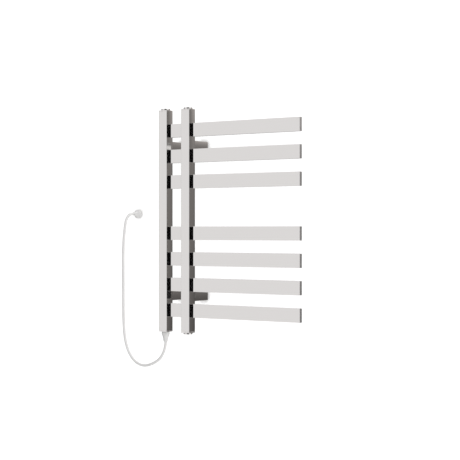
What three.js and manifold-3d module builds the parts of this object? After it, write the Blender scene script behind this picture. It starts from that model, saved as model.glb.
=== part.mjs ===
// Plug-in electric towel warmer rack: two wall-hung posts and seven flat heated bars.
// Millimetres. +X runs right along the wall, +Y into the wall, +Z up.
// The wall is the plane y = 0. The origin is on the back face of the lower left
// wall anchor, WALL_POINT_DROP below its screw.
import * as THREE from 'three';
import { mergeVertices } from 'three/addons/utils/BufferGeometryUtils.js';
import Module from 'manifold-3d';

const wasm = await Module();
wasm.setup();

// ---- Driving dimensions ----
const GAP = 0.3; // between pieces that touch on the real object

const POST_WIDTH = 31;
const POST_DEPTH = 31;
const POST_HEIGHT = 674; // over the end plates, without the caps
const POST_WALL = 1.5;
const POST_CORNER = 0.8;
const CORNER_STEPS = 2;
const POST_PITCH = 84;
const END_PLATE = 3;

const BAR_HEIGHT = 41;
const BAR_DEPTH = 9;
const BAR_WALL = 1.2;
const BAR_CORNER = 0.6;
const BAR_PITCH = 78;
const BAR_RIGHT_END = 473;
const WINDOW_HEIGHT = 32;
const WINDOW_FROM_END = 2;
const WINDOW_PAST_LOOM = 4;
const BAR_END_CAP = 1.5;
const TOP_BAR_DROP = 62.3; // top of the posts down to the middle of the top bar
const BAR_PLACES = [0, 1, 2, 4, 5, 6, 7]; // one place is left out, for thick towels

const STANDOFF_SIZE = 30;
const STANDOFF_WALL = 1.5;
const STANDOFF_LENGTH = 67.5;
const STANDOFF_END_MARGIN = 94.5; // post end to the nearer side of the standoff

const ANCHOR_DEPTH = 20;
const WALL_POINT_DROP = 6;
const WALL_SCREW_LENGTH = 45;
const GRUB_FROM_WALL = 10;
const GRUB_DIAMETER = 5;
const GRUB_LENGTH = 6;
const SCREW_HOLE = 5.6;
const SCREW_HEAD = 10;
const SCREW_SHANK = 4.8;

const CAP_DIAMETER = 27;
const CAP_HEIGHT = 4.5;
const CAP_EDGE = 0.8;
const BUSH_DIAMETER = 20;
const BUSH_BORE = 13.6;
const BUSH_DEPTH = 9;
const STEM_DIAMETER = 13;
const NUT_WIDTH = 18;
const NUT_HEIGHT = 4;

const RELIEF_LENGTH = 31;
const RELIEF_BORE = 9.4;
const RELIEF_FLOOR = 4; // solid rubber left at the tip, around the moulded-in sheath

const CORD_DIAMETER = 8.6;
const LEAD_DIAMETER = 8;
const OUTLET_PROUD = 5.5; // the face that the plug is pushed against, out from the wall
const PLUG_DIAMETER = 27;
const PLUG_LENGTH = 25;
const BLADE_LENGTH = 17.5;
const BLADE_SPREAD = 6.35; // each blade, from the middle of the plug
const BLADE_RISE = 5;
const PIN_DROP = 11.9; // from the blades down to the earth pin
const CORD_STEPS = 38;
const PLUG_X = -167.4;
const PLUG_Z = 257;

const HEATER_DIAMETER = 3.6;
const HEATER_SPREAD = 24; // between the two runs of a heating loop
const HEATER_REACH = 440;
const LOOM_DIAMETER = 5;
const LOOM_X = -5;
const LOOM_BEFORE_BARS = 11;
const LEAD_BEND = 5;
const TERMINAL_HEIGHT = 22;
const TERMINAL_RISE = 20; // from the post's foot
const TERMINAL_FORWARD = 1.5;
const EARTH_SCREW_SHANK = 3.4;
const EARTH_SCREW_AT = [-10.1, -9.1]; // from the middle of the end plate

// ---- Places worked out from them ----
const STANDOFF_Z_LOW = WALL_POINT_DROP;
const POST_BOTTOM = STANDOFF_Z_LOW - STANDOFF_SIZE / 2 - STANDOFF_END_MARGIN;
const POST_TOP = POST_BOTTOM + POST_HEIGHT;
const STANDOFF_Z_HIGH = POST_TOP - STANDOFF_END_MARGIN - STANDOFF_SIZE / 2;
const POST_REAR = -STANDOFF_LENGTH;
const POST_Y = POST_REAR - POST_DEPTH / 2;
const POST_INNER = POST_WIDTH / 2 - POST_WALL;
const BAR_Y = POST_REAR - BAR_DEPTH / 2;
const BAR_FRONT = POST_REAR - BAR_DEPTH;
const BAR_LEFT_END = -POST_INNER + GAP;
const LOOM_Y = BAR_FRONT - LOOM_BEFORE_BARS;
const BAR_HEIGHTS = BAR_PLACES.map((place) => POST_TOP - TOP_BAR_DROP - BAR_PITCH * place);
const SIDES = [
  { name: 'left', x: 0 },
  { name: 'right', x: POST_PITCH },
];
const LEVELS = [
  { name: 'lower', z: STANDOFF_Z_LOW },
  { name: 'upper', z: STANDOFF_Z_HIGH },
];

// Cord route from the strain relief's tip to the plug's tip, chosen by hand
const CORD_ROUTE = [
  [0, POST_Y, POST_BOTTOM - RELIEF_LENGTH - GAP],
  [-0.3, -83, -141],
  [-2.3, -83, -151],
  [-6.8, -83, -164],
  [-14.4, -83, -178],
  [-26, -83, -190.5],
  [-42, -83, -200.5],
  [-60, -83, -208],
  [-79, -83, -212],
  [-97, -83, -210.6],
  [-113.5, -83, -204],
  [-128, -83, -193],
  [-139.5, -83, -179],
  [-148.5, -83, -163],
  [-155, -83, -144],
  [-160, -83, -121],
  [-163, -82.8, -92],
  [-164.8, -82.4, -58],
  [-165.8, -82, -20],
  [-166.4, -81.7, 20],
  [-166.9, -81.4, 60],
  [-167.2, -81, 100],
  [-167.4, -80.3, 138],
  [-167.4, -79, 166],
  [-167.4, -76.4, 190],
  [-167.4, -73, 210],
  [-167.4, -69.6, 226.5],
  [-167.4, -64.8, 239.2],
  [-167.4, -57, 248.9],
  [-167.4, -46.6, 254.9],
  [-167.4, -35.4, 257],
  [PLUG_X, -OUTLET_PROUD - PLUG_LENGTH - GAP, PLUG_Z],
];

// ---- Finishes ----
const finish = (color, roughness, metalness) =>
  new THREE.MeshStandardMaterial({ color, roughness, metalness });

const FINISHES = {
  polished: () => finish(0xd9d7d4, 0.08, 1),
  whitePlastic: () => finish(0xe9e8e6, 0.35, 0),
  cordSheath: () => finish(0xe6e5e2, 0.45, 0),
  brass: () => finish(0xc9a85a, 0.3, 1),
  zinc: () => finish(0xb4b7ba, 0.4, 1),
  castZinc: () => finish(0x8f9294, 0.5, 1),
  silicone: () => finish(0x9a4a34, 0.6, 0),
  ceramic: () => finish(0xeae4d6, 0.5, 0),
  wiring: () => finish(0xd8d2c4, 0.6, 0),
};

// ---- Solids ----
function toSolid(geometry) {
  const bare = geometry.index ? geometry.toNonIndexed() : geometry.clone();
  bare.deleteAttribute('normal');
  bare.deleteAttribute('uv');
  const merged = mergeVertices(bare, 1e-4);
  return new wasm.Manifold(new wasm.Mesh({
    numProp: 3,
    vertProperties: new Float32Array(merged.attributes.position.array),
    triVerts: new Uint32Array(merged.index.array),
  }));
}

function toGeometry(solid) {
  const mesh = solid.getMesh();
  const geometry = new THREE.BufferGeometry();
  geometry.setAttribute('position', new THREE.BufferAttribute(mesh.vertProperties, 3));
  geometry.setIndex(new THREE.BufferAttribute(mesh.triVerts, 1));
  return geometry;
}

function cut(geometry, ...tools) {
  return toGeometry(tools.reduce((solid, tool) => solid.subtract(toSolid(tool)), toSolid(geometry)));
}

function join(geometry, ...others) {
  return toGeometry(others.reduce((solid, other) => solid.add(toSolid(other)), toSolid(geometry)));
}

// A box given by its two opposite corners
function block(low, high) {
  const size = high.map((value, i) => value - low[i]);
  const middle = high.map((value, i) => (value + low[i]) / 2);
  return new THREE.BoxGeometry(...size).translate(...middle);
}

// A cylinder from z = 0 up to z = length
function rod(diameter, length, sides = 16) {
  return new THREE.CylinderGeometry(diameter / 2, diameter / 2, length, sides)
    .rotateX(Math.PI / 2)
    .translate(0, 0, length / 2);
}

// Turns a piece made along Z so that it runs along +X, with its width along Y
function alongX(geometry) {
  const [x, y, z] = [[1, 0, 0], [0, 1, 0], [0, 0, 1]].map((axis) => new THREE.Vector3(...axis));
  return geometry.applyMatrix4(new THREE.Matrix4().makeBasis(y, z, x));
}

// Turns a piece made along Z so that it runs along +Y, into the wall
function alongY(geometry) {
  return geometry.rotateX(-Math.PI / 2);
}

// A turned piece about Z, from [radius, z] pairs that start and end on the axis
function turned(profile, sides = 24) {
  const points = profile.map(([radius, z]) => new THREE.Vector2(radius, z));
  return new THREE.LatheGeometry(points, sides).rotateX(Math.PI / 2);
}

// Rounded rectangle in the plane of a section, with circular corners
function roundedRect(width, height, corner, PathType = THREE.Shape) {
  const [w, h] = [width / 2, height / 2];
  const path = new PathType();
  path.moveTo(-w + corner, -h);
  path.lineTo(w - corner, -h);
  path.absarc(w - corner, -h + corner, corner, -Math.PI / 2, 0);
  path.lineTo(w, h - corner);
  path.absarc(w - corner, h - corner, corner, 0, Math.PI / 2);
  path.lineTo(-w + corner, h);
  path.absarc(-w + corner, h - corner, corner, Math.PI / 2, Math.PI);
  path.lineTo(-w, -h + corner);
  path.absarc(-w + corner, -h + corner, corner, Math.PI, Math.PI * 1.5);
  return path;
}

// Rectangular tube from z = 0 up to z = length, open at both ends
function boxTube(width, height, wall, corner, length) {
  const section = roundedRect(width, height, corner);
  const inner = Math.max(corner - wall, 0.4);
  section.holes.push(roundedRect(width - 2 * wall, height - 2 * wall, inner, THREE.Path));
  return new THREE.ExtrudeGeometry(
    section,
    { depth: length, bevelEnabled: false, curveSegments: CORNER_STEPS },
  );
}

// Wire along a list of stations: each station is met exactly, so straight runs stay light
class StationPath extends THREE.Curve {
  constructor(stations) {
    super();
    this.stations = stations;
  }

  getPointAt(u, target = new THREE.Vector3()) {
    const last = this.stations.length - 1;
    return target.copy(this.stations[Math.round(u * last)]);
  }

  getTangentAt(u, target = new THREE.Vector3()) {
    const last = this.stations.length - 1;
    const at = Math.round(u * last);
    const before = this.stations[Math.max(at - 1, 0)];
    const after = this.stations[Math.min(at + 1, last)];
    return target.subVectors(after, before).normalize();
  }
}

// Stations of a round bend in a plane spanned by two unit vectors
function bend(centre, radius, from, to, u, v, steps) {
  return Array.from({ length: steps + 1 }, (_, i) => {
    const angle = from + (to - from) * i / steps;
    return centre.clone()
      .addScaledVector(u, radius * Math.cos(angle))
      .addScaledVector(v, radius * Math.sin(angle));
  });
}

function circleSection(diameter, sides) {
  const points = Array.from({ length: sides }, (_, i) => {
    const angle = 2 * Math.PI * i / sides;
    return new THREE.Vector2(Math.cos(angle), Math.sin(angle)).multiplyScalar(diameter / 2);
  });
  return new THREE.Shape(points);
}

function wire(path, steps, diameter, sides) {
  return new THREE.ExtrudeGeometry(circleSection(diameter, sides), { steps, extrudePath: path });
}

// ---- Assembly helpers ----
const rack = new THREE.Group();

function place(name, geometry, finishName, position = [0, 0, 0], rotation = [0, 0, 0]) {
  const mesh = new THREE.Mesh(geometry, FINISHES[finishName]());
  mesh.name = name;
  mesh.position.set(...position);
  mesh.rotation.set(...rotation);
  rack.add(mesh);
  return mesh;
}

// ---- Posts, with notches that the bars are let into from the rear ----
function post(side) {
  const length = POST_HEIGHT - 2 * (END_PLATE + GAP);
  const low = POST_BOTTOM + END_PLATE + GAP;
  const tube = boxTube(POST_WIDTH, POST_DEPTH, POST_WALL, POST_CORNER, length)
    .translate(side.x, POST_Y, low);
  const notchLeft = side.name === 'left' ? BAR_LEFT_END - GAP : side.x - POST_WIDTH;
  const notches = BAR_HEIGHTS.map((z) => block(
    [notchLeft, BAR_FRONT - GAP, z - BAR_HEIGHT / 2 - GAP],
    [side.x + POST_WIDTH, POST_REAR + 1, z + BAR_HEIGHT / 2 + GAP],
  ));
  return cut(tube, ...notches);
}

for (const side of SIDES) {
  place(`post_${side.name}`, post(side), 'polished');
}

// ---- End plates welded into the posts, each with a threaded bush ----
function endPlate(...holes) {
  const plate = new THREE.ExtrudeGeometry(
    roundedRect(POST_WIDTH, POST_DEPTH, POST_CORNER),
    { depth: END_PLATE, bevelEnabled: false, curveSegments: CORNER_STEPS },
  );
  const bush = rod(BUSH_DIAMETER, BUSH_DEPTH);
  const bore = rod(BUSH_BORE, BUSH_DEPTH + 2).translate(0, 0, -1);
  return cut(join(plate, bush), bore, ...holes);
}

const FLIP = [Math.PI, 0, 0];
const earthHole = rod(EARTH_SCREW_SHANK + 2 * GAP, END_PLATE, 16).translate(...EARTH_SCREW_AT, 0.8);
place('end_plate_bottom_left', endPlate(earthHole), 'polished', [0, POST_Y, POST_BOTTOM]);
place('end_plate_bottom_right', endPlate(), 'polished', [POST_PITCH, POST_Y, POST_BOTTOM]);
for (const side of SIDES) {
  place(`end_plate_top_${side.name}`, endPlate(), 'polished', [side.x, POST_Y, POST_TOP], FLIP);
}

// ---- Round caps screwed into the bushes ----
function postCap() {
  const rim = CAP_DIAMETER / 2;
  return turned([
    [0, -BUSH_DEPTH],
    [STEM_DIAMETER / 2, -BUSH_DEPTH],
    [STEM_DIAMETER / 2, GAP],
    [rim, GAP],
    [rim, CAP_HEIGHT - CAP_EDGE],
    [rim - CAP_EDGE * 0.3, CAP_HEIGHT - CAP_EDGE * 0.3],
    [rim - CAP_EDGE, CAP_HEIGHT],
    [0, CAP_HEIGHT],
  ]);
}

for (const side of SIDES) {
  place(`post_cap_top_${side.name}`, postCap(), 'polished', [side.x, POST_Y, POST_TOP]);
}
place('post_cap_bottom_right', postCap(), 'polished', [POST_PITCH, POST_Y, POST_BOTTOM], FLIP);

// ---- Flat bars: tubes open at the left, with a wiring window inside the left post ----
function bar(z) {
  const length = BAR_RIGHT_END - BAR_END_CAP - GAP - BAR_LEFT_END;
  const tube = alongX(boxTube(BAR_DEPTH, BAR_HEIGHT, BAR_WALL, BAR_CORNER, length))
    .translate(BAR_LEFT_END, BAR_Y, z);
  const window = block(
    [BAR_LEFT_END + WINDOW_FROM_END, BAR_FRONT - 1, z - WINDOW_HEIGHT / 2],
    [LOOM_X + WINDOW_PAST_LOOM, BAR_FRONT + BAR_WALL + 0.5, z + WINDOW_HEIGHT / 2],
  );
  return cut(tube, window);
}

function barEndCap(z) {
  const plate = new THREE.ExtrudeGeometry(
    roundedRect(BAR_DEPTH, BAR_HEIGHT, BAR_CORNER),
    { depth: BAR_END_CAP, bevelEnabled: false, curveSegments: CORNER_STEPS },
  );
  const inside = 2 * (BAR_WALL + GAP);
  const spigot = block(
    [-(BAR_DEPTH - inside) / 2, -(BAR_HEIGHT - inside) / 2, -3],
    [(BAR_DEPTH - inside) / 2, (BAR_HEIGHT - inside) / 2, 0.5],
  );
  return alongX(join(plate, spigot)).translate(BAR_RIGHT_END - BAR_END_CAP, BAR_Y, z);
}

// ---- Heating loop in each bar: out along the top, back along the bottom ----
function heater(z) {
  const [right, forward, up] = [
    new THREE.Vector3(1, 0, 0),
    new THREE.Vector3(0, -1, 0),
    new THREE.Vector3(0, 0, 1),
  ];
  const half = HEATER_SPREAD / 2;
  const turn = LEAD_BEND;
  const topLead = bend(
    new THREE.Vector3(LOOM_X + turn, BAR_Y - turn, z + half), turn, Math.PI, Math.PI / 2,
    right, forward.clone().negate(), 3,
  );
  const bottomLead = topLead.map((p) => p.clone().addScaledVector(up, -HEATER_SPREAD)).reverse();
  const end = bend(
    new THREE.Vector3(HEATER_REACH, BAR_Y, z), half, Math.PI / 2, -Math.PI / 2, right, up, 8,
  );
  const leadTip = new THREE.Vector3(LOOM_X, LOOM_Y + LOOM_DIAMETER / 2 + GAP, z + half);
  const leadTail = leadTip.clone().addScaledVector(up, -HEATER_SPREAD);
  const stations = [leadTip, ...topLead, ...end, ...bottomLead, leadTail];
  return wire(new StationPath(stations), stations.length - 1, HEATER_DIAMETER, 6);
}

BAR_HEIGHTS.forEach((z, i) => {
  place(`bar_${i + 1}`, bar(z), 'polished');
  place(`bar_end_cap_${i + 1}`, barEndCap(z), 'polished');
  place(`heating_loop_${i + 1}`, heater(z), 'silicone');
});

// ---- Standoffs from the posts to the wall, each slid over a screwed wall anchor ----
function standoff() {
  const length = STANDOFF_LENGTH - GAP;
  const tube = alongY(boxTube(STANDOFF_SIZE, STANDOFF_SIZE, STANDOFF_WALL, POST_CORNER, length))
    .translate(0, -length, 0);
  const grubHole = rod(GRUB_DIAMETER + 2 * GAP, 6, 16)
    .translate(0, -GRUB_FROM_WALL, -STANDOFF_SIZE / 2 - 2);
  return cut(tube, grubHole);
}

function wallAnchor() {
  const half = STANDOFF_SIZE / 2 - STANDOFF_WALL - GAP;
  const body = block([-half, -ANCHOR_DEPTH, -half], [half, 0, half]);
  const screwHole = alongY(rod(SCREW_HOLE, ANCHOR_DEPTH + 2, 20)).translate(0, -ANCHOR_DEPTH - 1, 0);
  const sink = alongY(turned([
    [0, -1],
    [SCREW_HEAD / 2 + 1 + GAP, -1],
    [SCREW_HEAD / 2 + GAP, 0],
    [SCREW_HOLE / 2, (SCREW_HEAD - SCREW_HOLE) / 2],
    [0, (SCREW_HEAD - SCREW_HOLE) / 2],
  ], 20)).translate(0, -ANCHOR_DEPTH, 0);
  const grubHole = rod(GRUB_DIAMETER + 2 * GAP, 7, 16).translate(0, -GRUB_FROM_WALL, -half - 1);
  return cut(body, screwHole, sink, grubHole);
}

function wallScrew() {
  const shank = SCREW_SHANK / 2;
  const head = SCREW_HEAD / 2 - GAP;
  const solid = turned([
    [0, 0],
    [head, 0],
    [shank, head - shank],
    [shank, WALL_SCREW_LENGTH - 6],
    [0, WALL_SCREW_LENGTH],
  ], 20);
  const arms = [[5, 1.1], [1.1, 5]].map(([a, b]) => block([-a / 2, -b / 2, -1], [a / 2, b / 2, 2]));
  return alongY(cut(solid, ...arms)).translate(0, -ANCHOR_DEPTH, 0);
}

// Socket-headed grub screw pointing up, with its socket at the bottom
function grubScrew() {
  return cut(rod(GRUB_DIAMETER, GRUB_LENGTH, 16), rod(2.6, 3, 6).translate(0, 0, -0.5));
}

for (const level of LEVELS) {
  for (const side of SIDES) {
    const key = `${level.name}_${side.name}`;
    const at = [side.x, 0, level.z];
    const grubAt = [side.x, -GRUB_FROM_WALL, level.z - STANDOFF_SIZE / 2 + 0.2];
    place(`standoff_${key}`, standoff(), 'polished', at);
    place(`wall_anchor_${key}`, wallAnchor(), 'castZinc', at);
    place(`wall_screw_${key}`, wallScrew(), 'zinc', at);
    place(`grub_screw_${key}`, grubScrew(), 'zinc', grubAt);
  }
}

// ---- Supply: strain relief, lock nut, lead, terminal block, cutout and loom ----
function strainRelief() {
  const shank = STEM_DIAMETER / 2;
  const shankTop = BUSH_DEPTH + NUT_HEIGHT + 1.5;
  const outside = turned([
    [0, -RELIEF_LENGTH],
    [5.4, -RELIEF_LENGTH],
    [6.3, -RELIEF_LENGTH + 1],
    [7.1, -27],
    [7.8, -22],
    [8.8, -17],
    [10, -13],
    [11.4, -10.5],
    [12, -8.5],
    [12, -GAP],
    [shank, -GAP],
    [shank, shankTop],
    [0, shankTop],
  ]);
  const bore = rod(RELIEF_BORE, RELIEF_LENGTH + shankTop).translate(0, 0, -RELIEF_LENGTH + RELIEF_FLOOR);
  return cut(outside, bore);
}

const gland = [0, POST_Y, POST_BOTTOM];
place('strain_relief', strainRelief(), 'whitePlastic', gland);
place(
  'strain_relief_nut',
  cut(rod(NUT_WIDTH, NUT_HEIGHT, 6), rod(STEM_DIAMETER + 2 * GAP, 20).translate(0, 0, -1)),
  'brass',
  [0, POST_Y, POST_BOTTOM + BUSH_DEPTH + GAP],
);

const blockLow = POST_BOTTOM + TERMINAL_RISE;
const blockHigh = blockLow + TERMINAL_HEIGHT;
const blockY = POST_Y - TERMINAL_FORWARD;
const leadLow = POST_BOTTOM - RELIEF_LENGTH + RELIEF_FLOOR + GAP;
place('supply_lead', rod(LEAD_DIAMETER, blockLow - GAP - leadLow, 12), 'wiring', [0, POST_Y, leadLow]);

// Block with two clamp wells in its front
function terminalBlock() {
  const body = block([-10, -7, 0], [10, 7, TERMINAL_HEIGHT]);
  const wells = [-5, 5].map((x) => rod(4, 4, 12)
    .rotateX(Math.PI / 2)
    .translate(x, -4, TERMINAL_HEIGHT / 2));
  return cut(body, ...wells);
}

function earthScrew() {
  const shank = EARTH_SCREW_SHANK / 2;
  return turned([
    [0, -1.6],
    [shank, -1.6],
    [shank, GAP],
    [3, GAP],
    [3, 1.6],
    [2.2, 2.4],
    [0, 2.4],
  ], 16);
}

place('terminal_block', terminalBlock(), 'ceramic', [0, blockY, blockLow]);
place(
  'earth_screw',
  earthScrew(),
  'brass',
  [EARTH_SCREW_AT[0], POST_Y + EARTH_SCREW_AT[1], POST_BOTTOM + END_PLATE],
);

const loomLow = blockHigh + GAP;
const loomTop = BAR_HEIGHTS[0] + HEATER_SPREAD;
place('wiring_loom', rod(LOOM_DIAMETER, loomTop - loomLow, 12), 'wiring', [LOOM_X, LOOM_Y, loomLow]);
place(
  'thermal_cutout',
  block([-3.5, -3, -11], [3.5, 3, 11]),
  'ceramic',
  [6, LOOM_Y, BAR_HEIGHTS[6] + BAR_PITCH / 2],
);

// ---- Cord and its moulded plug ----
const route = new THREE.CatmullRomCurve3(CORD_ROUTE.map((point) => new THREE.Vector3(...point)));
place('cord', wire(route, CORD_STEPS, CORD_DIAMETER, 8), 'cordSheath');

function plugBody() {
  const rim = PLUG_DIAMETER / 2;
  const tip = CORD_DIAMETER / 2 + 0.6;
  return turned([
    [0, 0],
    [rim - 0.5, 0],
    [rim, 0.8],
    [rim, 4.2],
    [rim - 0.7, 5.4],
    [11, 7.6],
    [8.6, 11],
    [6.8, 15],
    [5.6, 20],
    [tip, PLUG_LENGTH],
    [0, PLUG_LENGTH],
  ]).rotateX(Math.PI / 2);
}

function plugBlade() {
  const blade = block([-0.75, GAP, -3.2], [0.75, BLADE_LENGTH, 3.2]);
  const eye = rod(3, 4, 16).translate(0, 0, -2).rotateY(Math.PI / 2).translate(0, BLADE_LENGTH - 4, 0);
  return cut(blade, eye);
}

function plugPin() {
  const radius = 2.4;
  return alongY(turned([
    [0, GAP],
    [radius, GAP],
    [radius, BLADE_LENGTH + 1],
    [0, BLADE_LENGTH + 3],
  ], 16));
}

const plugAt = [PLUG_X, -OUTLET_PROUD, PLUG_Z];
place('plug_body', plugBody(), 'whitePlastic', plugAt);
const bladeZ = PLUG_Z + BLADE_RISE;
place('plug_blade_neutral', plugBlade(), 'brass', [PLUG_X - BLADE_SPREAD, -OUTLET_PROUD, bladeZ]);
place('plug_blade_live', plugBlade(), 'brass', [PLUG_X + BLADE_SPREAD, -OUTLET_PROUD, bladeZ]);
place('plug_earth_pin', plugPin(), 'brass', [PLUG_X, -OUTLET_PROUD, bladeZ - PIN_DROP]);

export default rack;
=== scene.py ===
"""Towel warmer rack: the looks of a wall-hung, plug-in rack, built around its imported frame.

Two square posts stand off the wall on four square arms and carry seven flat heated bars.
A white lead leaves the foot of the left post and ends in a round moulded plug.
Everything is in metres: +X runs right along the wall, +Y into the wall, +Z up.
"""

import math

import bmesh
import bpy
from mathutils import Matrix, Vector


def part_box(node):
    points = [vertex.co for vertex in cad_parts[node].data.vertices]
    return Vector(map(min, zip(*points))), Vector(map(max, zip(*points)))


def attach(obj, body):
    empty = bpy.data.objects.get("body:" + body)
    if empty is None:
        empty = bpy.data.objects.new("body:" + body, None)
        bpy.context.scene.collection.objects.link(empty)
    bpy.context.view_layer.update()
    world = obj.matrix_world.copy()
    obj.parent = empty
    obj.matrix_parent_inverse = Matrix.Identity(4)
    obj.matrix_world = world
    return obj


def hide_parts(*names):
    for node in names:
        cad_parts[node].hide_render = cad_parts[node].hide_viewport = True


bl_info = {
    "name": "Towel Warmer Rack",
    "version": (1, 0, 0),
    "blender": (4, 5, 0),
    "location": "View3D > Sidebar > Towel Rack",
    "description": "Builds a wall-hung towel warmer rack around its packed frame",
    "category": "Object",
}

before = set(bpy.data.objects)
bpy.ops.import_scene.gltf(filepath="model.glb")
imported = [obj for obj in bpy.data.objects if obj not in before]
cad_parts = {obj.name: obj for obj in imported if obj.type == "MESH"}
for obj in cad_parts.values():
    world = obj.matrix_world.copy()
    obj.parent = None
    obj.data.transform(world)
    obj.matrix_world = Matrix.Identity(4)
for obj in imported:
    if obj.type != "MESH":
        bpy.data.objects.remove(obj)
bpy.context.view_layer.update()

MM = 0.001
SIDES = ("left", "right")
LEVELS = ("lower", "upper")
BARS = range(1, 8)

# How far a cutting tool runs past what it cuts
PAST = 1 * MM

# An edge is rounded where its faces turn by more than the first angle, and shaded sharp from the second
ROUNDED_FROM = math.radians(40)
SHARP_FROM = math.radians(50)

# A piece is made standing along Z and then laid along another axis
ALONG_Z = Matrix.Identity(4)
ALONG_X = Matrix(((0, 0, 1, 0), (1, 0, 0, 0), (0, 1, 0, 0), (0, 0, 0, 1)))
INTO_WALL = Matrix(((1, 0, 0, 0), (0, 0, 1, 0), (0, -1, 0, 0), (0, 0, 0, 1)))
OFF_WALL = Matrix(((1, 0, 0, 0), (0, 0, -1, 0), (0, 1, 0, 0), (0, 0, 0, 1)))
UPSIDE_DOWN = Matrix(((1, 0, 0, 0), (0, -1, 0, 0), (0, 0, -1, 0), (0, 0, 0, 1)))

# Cord route in millimetres, from the strain relief's tip into the plug's neck, as the CAD has it
CORD_ROUTE = (
    (0, -83, -134.8),
    (-0.3, -83, -141),
    (-2.3, -83, -151),
    (-6.8, -83, -164),
    (-14.4, -83, -178),
    (-26, -83, -190.5),
    (-42, -83, -200.5),
    (-60, -83, -208),
    (-79, -83, -212),
    (-97, -83, -210.6),
    (-113.5, -83, -204),
    (-128, -83, -193),
    (-139.5, -83, -179),
    (-148.5, -83, -163),
    (-155, -83, -144),
    (-160, -83, -121),
    (-163, -82.8, -92),
    (-164.8, -82.4, -58),
    (-165.8, -82, -20),
    (-166.4, -81.7, 20),
    (-166.9, -81.4, 60),
    (-167.2, -81, 100),
    (-167.4, -80.3, 138),
    (-167.4, -79, 166),
    (-167.4, -76.4, 190),
    (-167.4, -73, 210),
    (-167.4, -69.6, 226.5),
    (-167.4, -64.8, 239.2),
    (-167.4, -57, 248.9),
    (-167.4, -46.6, 254.9),
    (-167.4, -35.4, 257),
    (-167.4, -30.8, 257),
)


# ---- Sizes and colours that a user would change ----
def length(name, description, default):
    """A length property given in millimetres and kept in metres."""
    return bpy.props.FloatProperty(
        name=name, description=description, default=default * MM, min=0,
        precision=5, subtype="DISTANCE", unit="LENGTH",
    )


def colour(name, description, default):
    return bpy.props.FloatVectorProperty(
        name=name, description=description, default=default, size=3, min=0, max=1, subtype="COLOR",
    )


def fraction(name, description, default):
    return bpy.props.FloatProperty(
        name=name, description=description, default=default, min=0, max=1, subtype="FACTOR",
    )


class RackSizes(bpy.types.PropertyGroup):
    """Wall thicknesses, edge radii and the cord's diameter, which the frame's boxes don't give"""
    post_wall: length("Post wall", "Thickness of the posts' tube", 1.5)
    post_corner: length("Post corner", "Outer corner radius of the posts", 0.6)
    bar_wall: length("Bar wall", "Thickness of the bars' tube", 1.2)
    bar_corner: length("Bar corner", "Outer corner radius of the bars", 0.5)
    arm_wall: length("Arm wall", "Thickness of the standoffs' tube", 1.5)
    arm_corner: length("Arm corner", "Outer corner radius of the standoffs", 0.6)
    crown: length("Crown", "How far the rolled faces of the posts and standoffs bow out", 0.3)
    plate_edge: length("End plate edge", "Radius round the outer face of the end plates", 0.5)
    cap_edge: length("Cap edge", "Radius round the top of the post caps", 0.8)
    cut_edge: length("Cut edge", "Softening of sawn and punched edges", 0.2)
    cord_diameter: length("Cord diameter", "Diameter of the cord's sheath", 8.6)


class RackFinishes(bpy.types.PropertyGroup):
    """Colours of the rack's materials"""
    steel: colour("Polished steel", "Tint of the polished tubes", (0.80, 0.79, 0.78))
    steel_roughness: fraction("Steel roughness", "Blur of the polished tubes' reflections", 0.05)
    moulding: colour("White moulding", "Strain relief and plug", (0.74, 0.735, 0.73))
    sheath: colour("Cord sheath", "Outer sheath of the cord", (0.78, 0.775, 0.77))
    brass: colour("Brass", "Plug contacts, lock nut and earth screw", (0.74, 0.56, 0.28))
    zinc: colour("Cast zinc", "Wall anchors", (0.46, 0.47, 0.48))
    silicone: colour("Silicone", "Insulation of the heating loops", (0.33, 0.07, 0.035))


class RackStudio(bpy.types.PropertyGroup):
    """Camera and lights"""
    focal_length: bpy.props.FloatProperty(
        name="Focal length", description="Lens of the camera", default=97.75, min=1, unit="CAMERA",
    )
    heading: bpy.props.FloatProperty(
        name="Heading", description="Turn of the camera from square on to the wall",
        default=math.radians(33.964), subtype="ANGLE",
    )
    fill: bpy.props.FloatProperty(
        name="Fill", description="Brightness of the soft light all round", default=0.66, min=0, max=5,
    )
    key_power: bpy.props.FloatProperty(
        name="Key power", description="Strength of the large soft lamp", default=9, min=0, unit="POWER",
    )
    floor_drop: length("Floor drop", "Height of the rack's origin over the floor", 900)


# ---- Shader arithmetic ----
class Shade:
    """A shader socket that Python's operators work on: each one adds a Math node."""

    def __init__(self, recipe, socket):
        self.recipe = recipe
        self.socket = socket

    def __add__(self, other):
        return self.recipe.math("ADD", self, other)

    __radd__ = __add__

    def __sub__(self, other):
        return self.recipe.math("SUBTRACT", self, other)

    def __rsub__(self, other):
        return self.recipe.math("SUBTRACT", other, self)

    def __mul__(self, other):
        return self.recipe.math("MULTIPLY", self, other)

    __rmul__ = __mul__

    def __truediv__(self, other):
        return self.recipe.math("DIVIDE", self, other)

    def __rtruediv__(self, other):
        return self.recipe.math("DIVIDE", other, self)

    def output(self, name):
        """Another output of the same node."""
        return Shade(self.recipe, self.socket.node.outputs[name])


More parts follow.
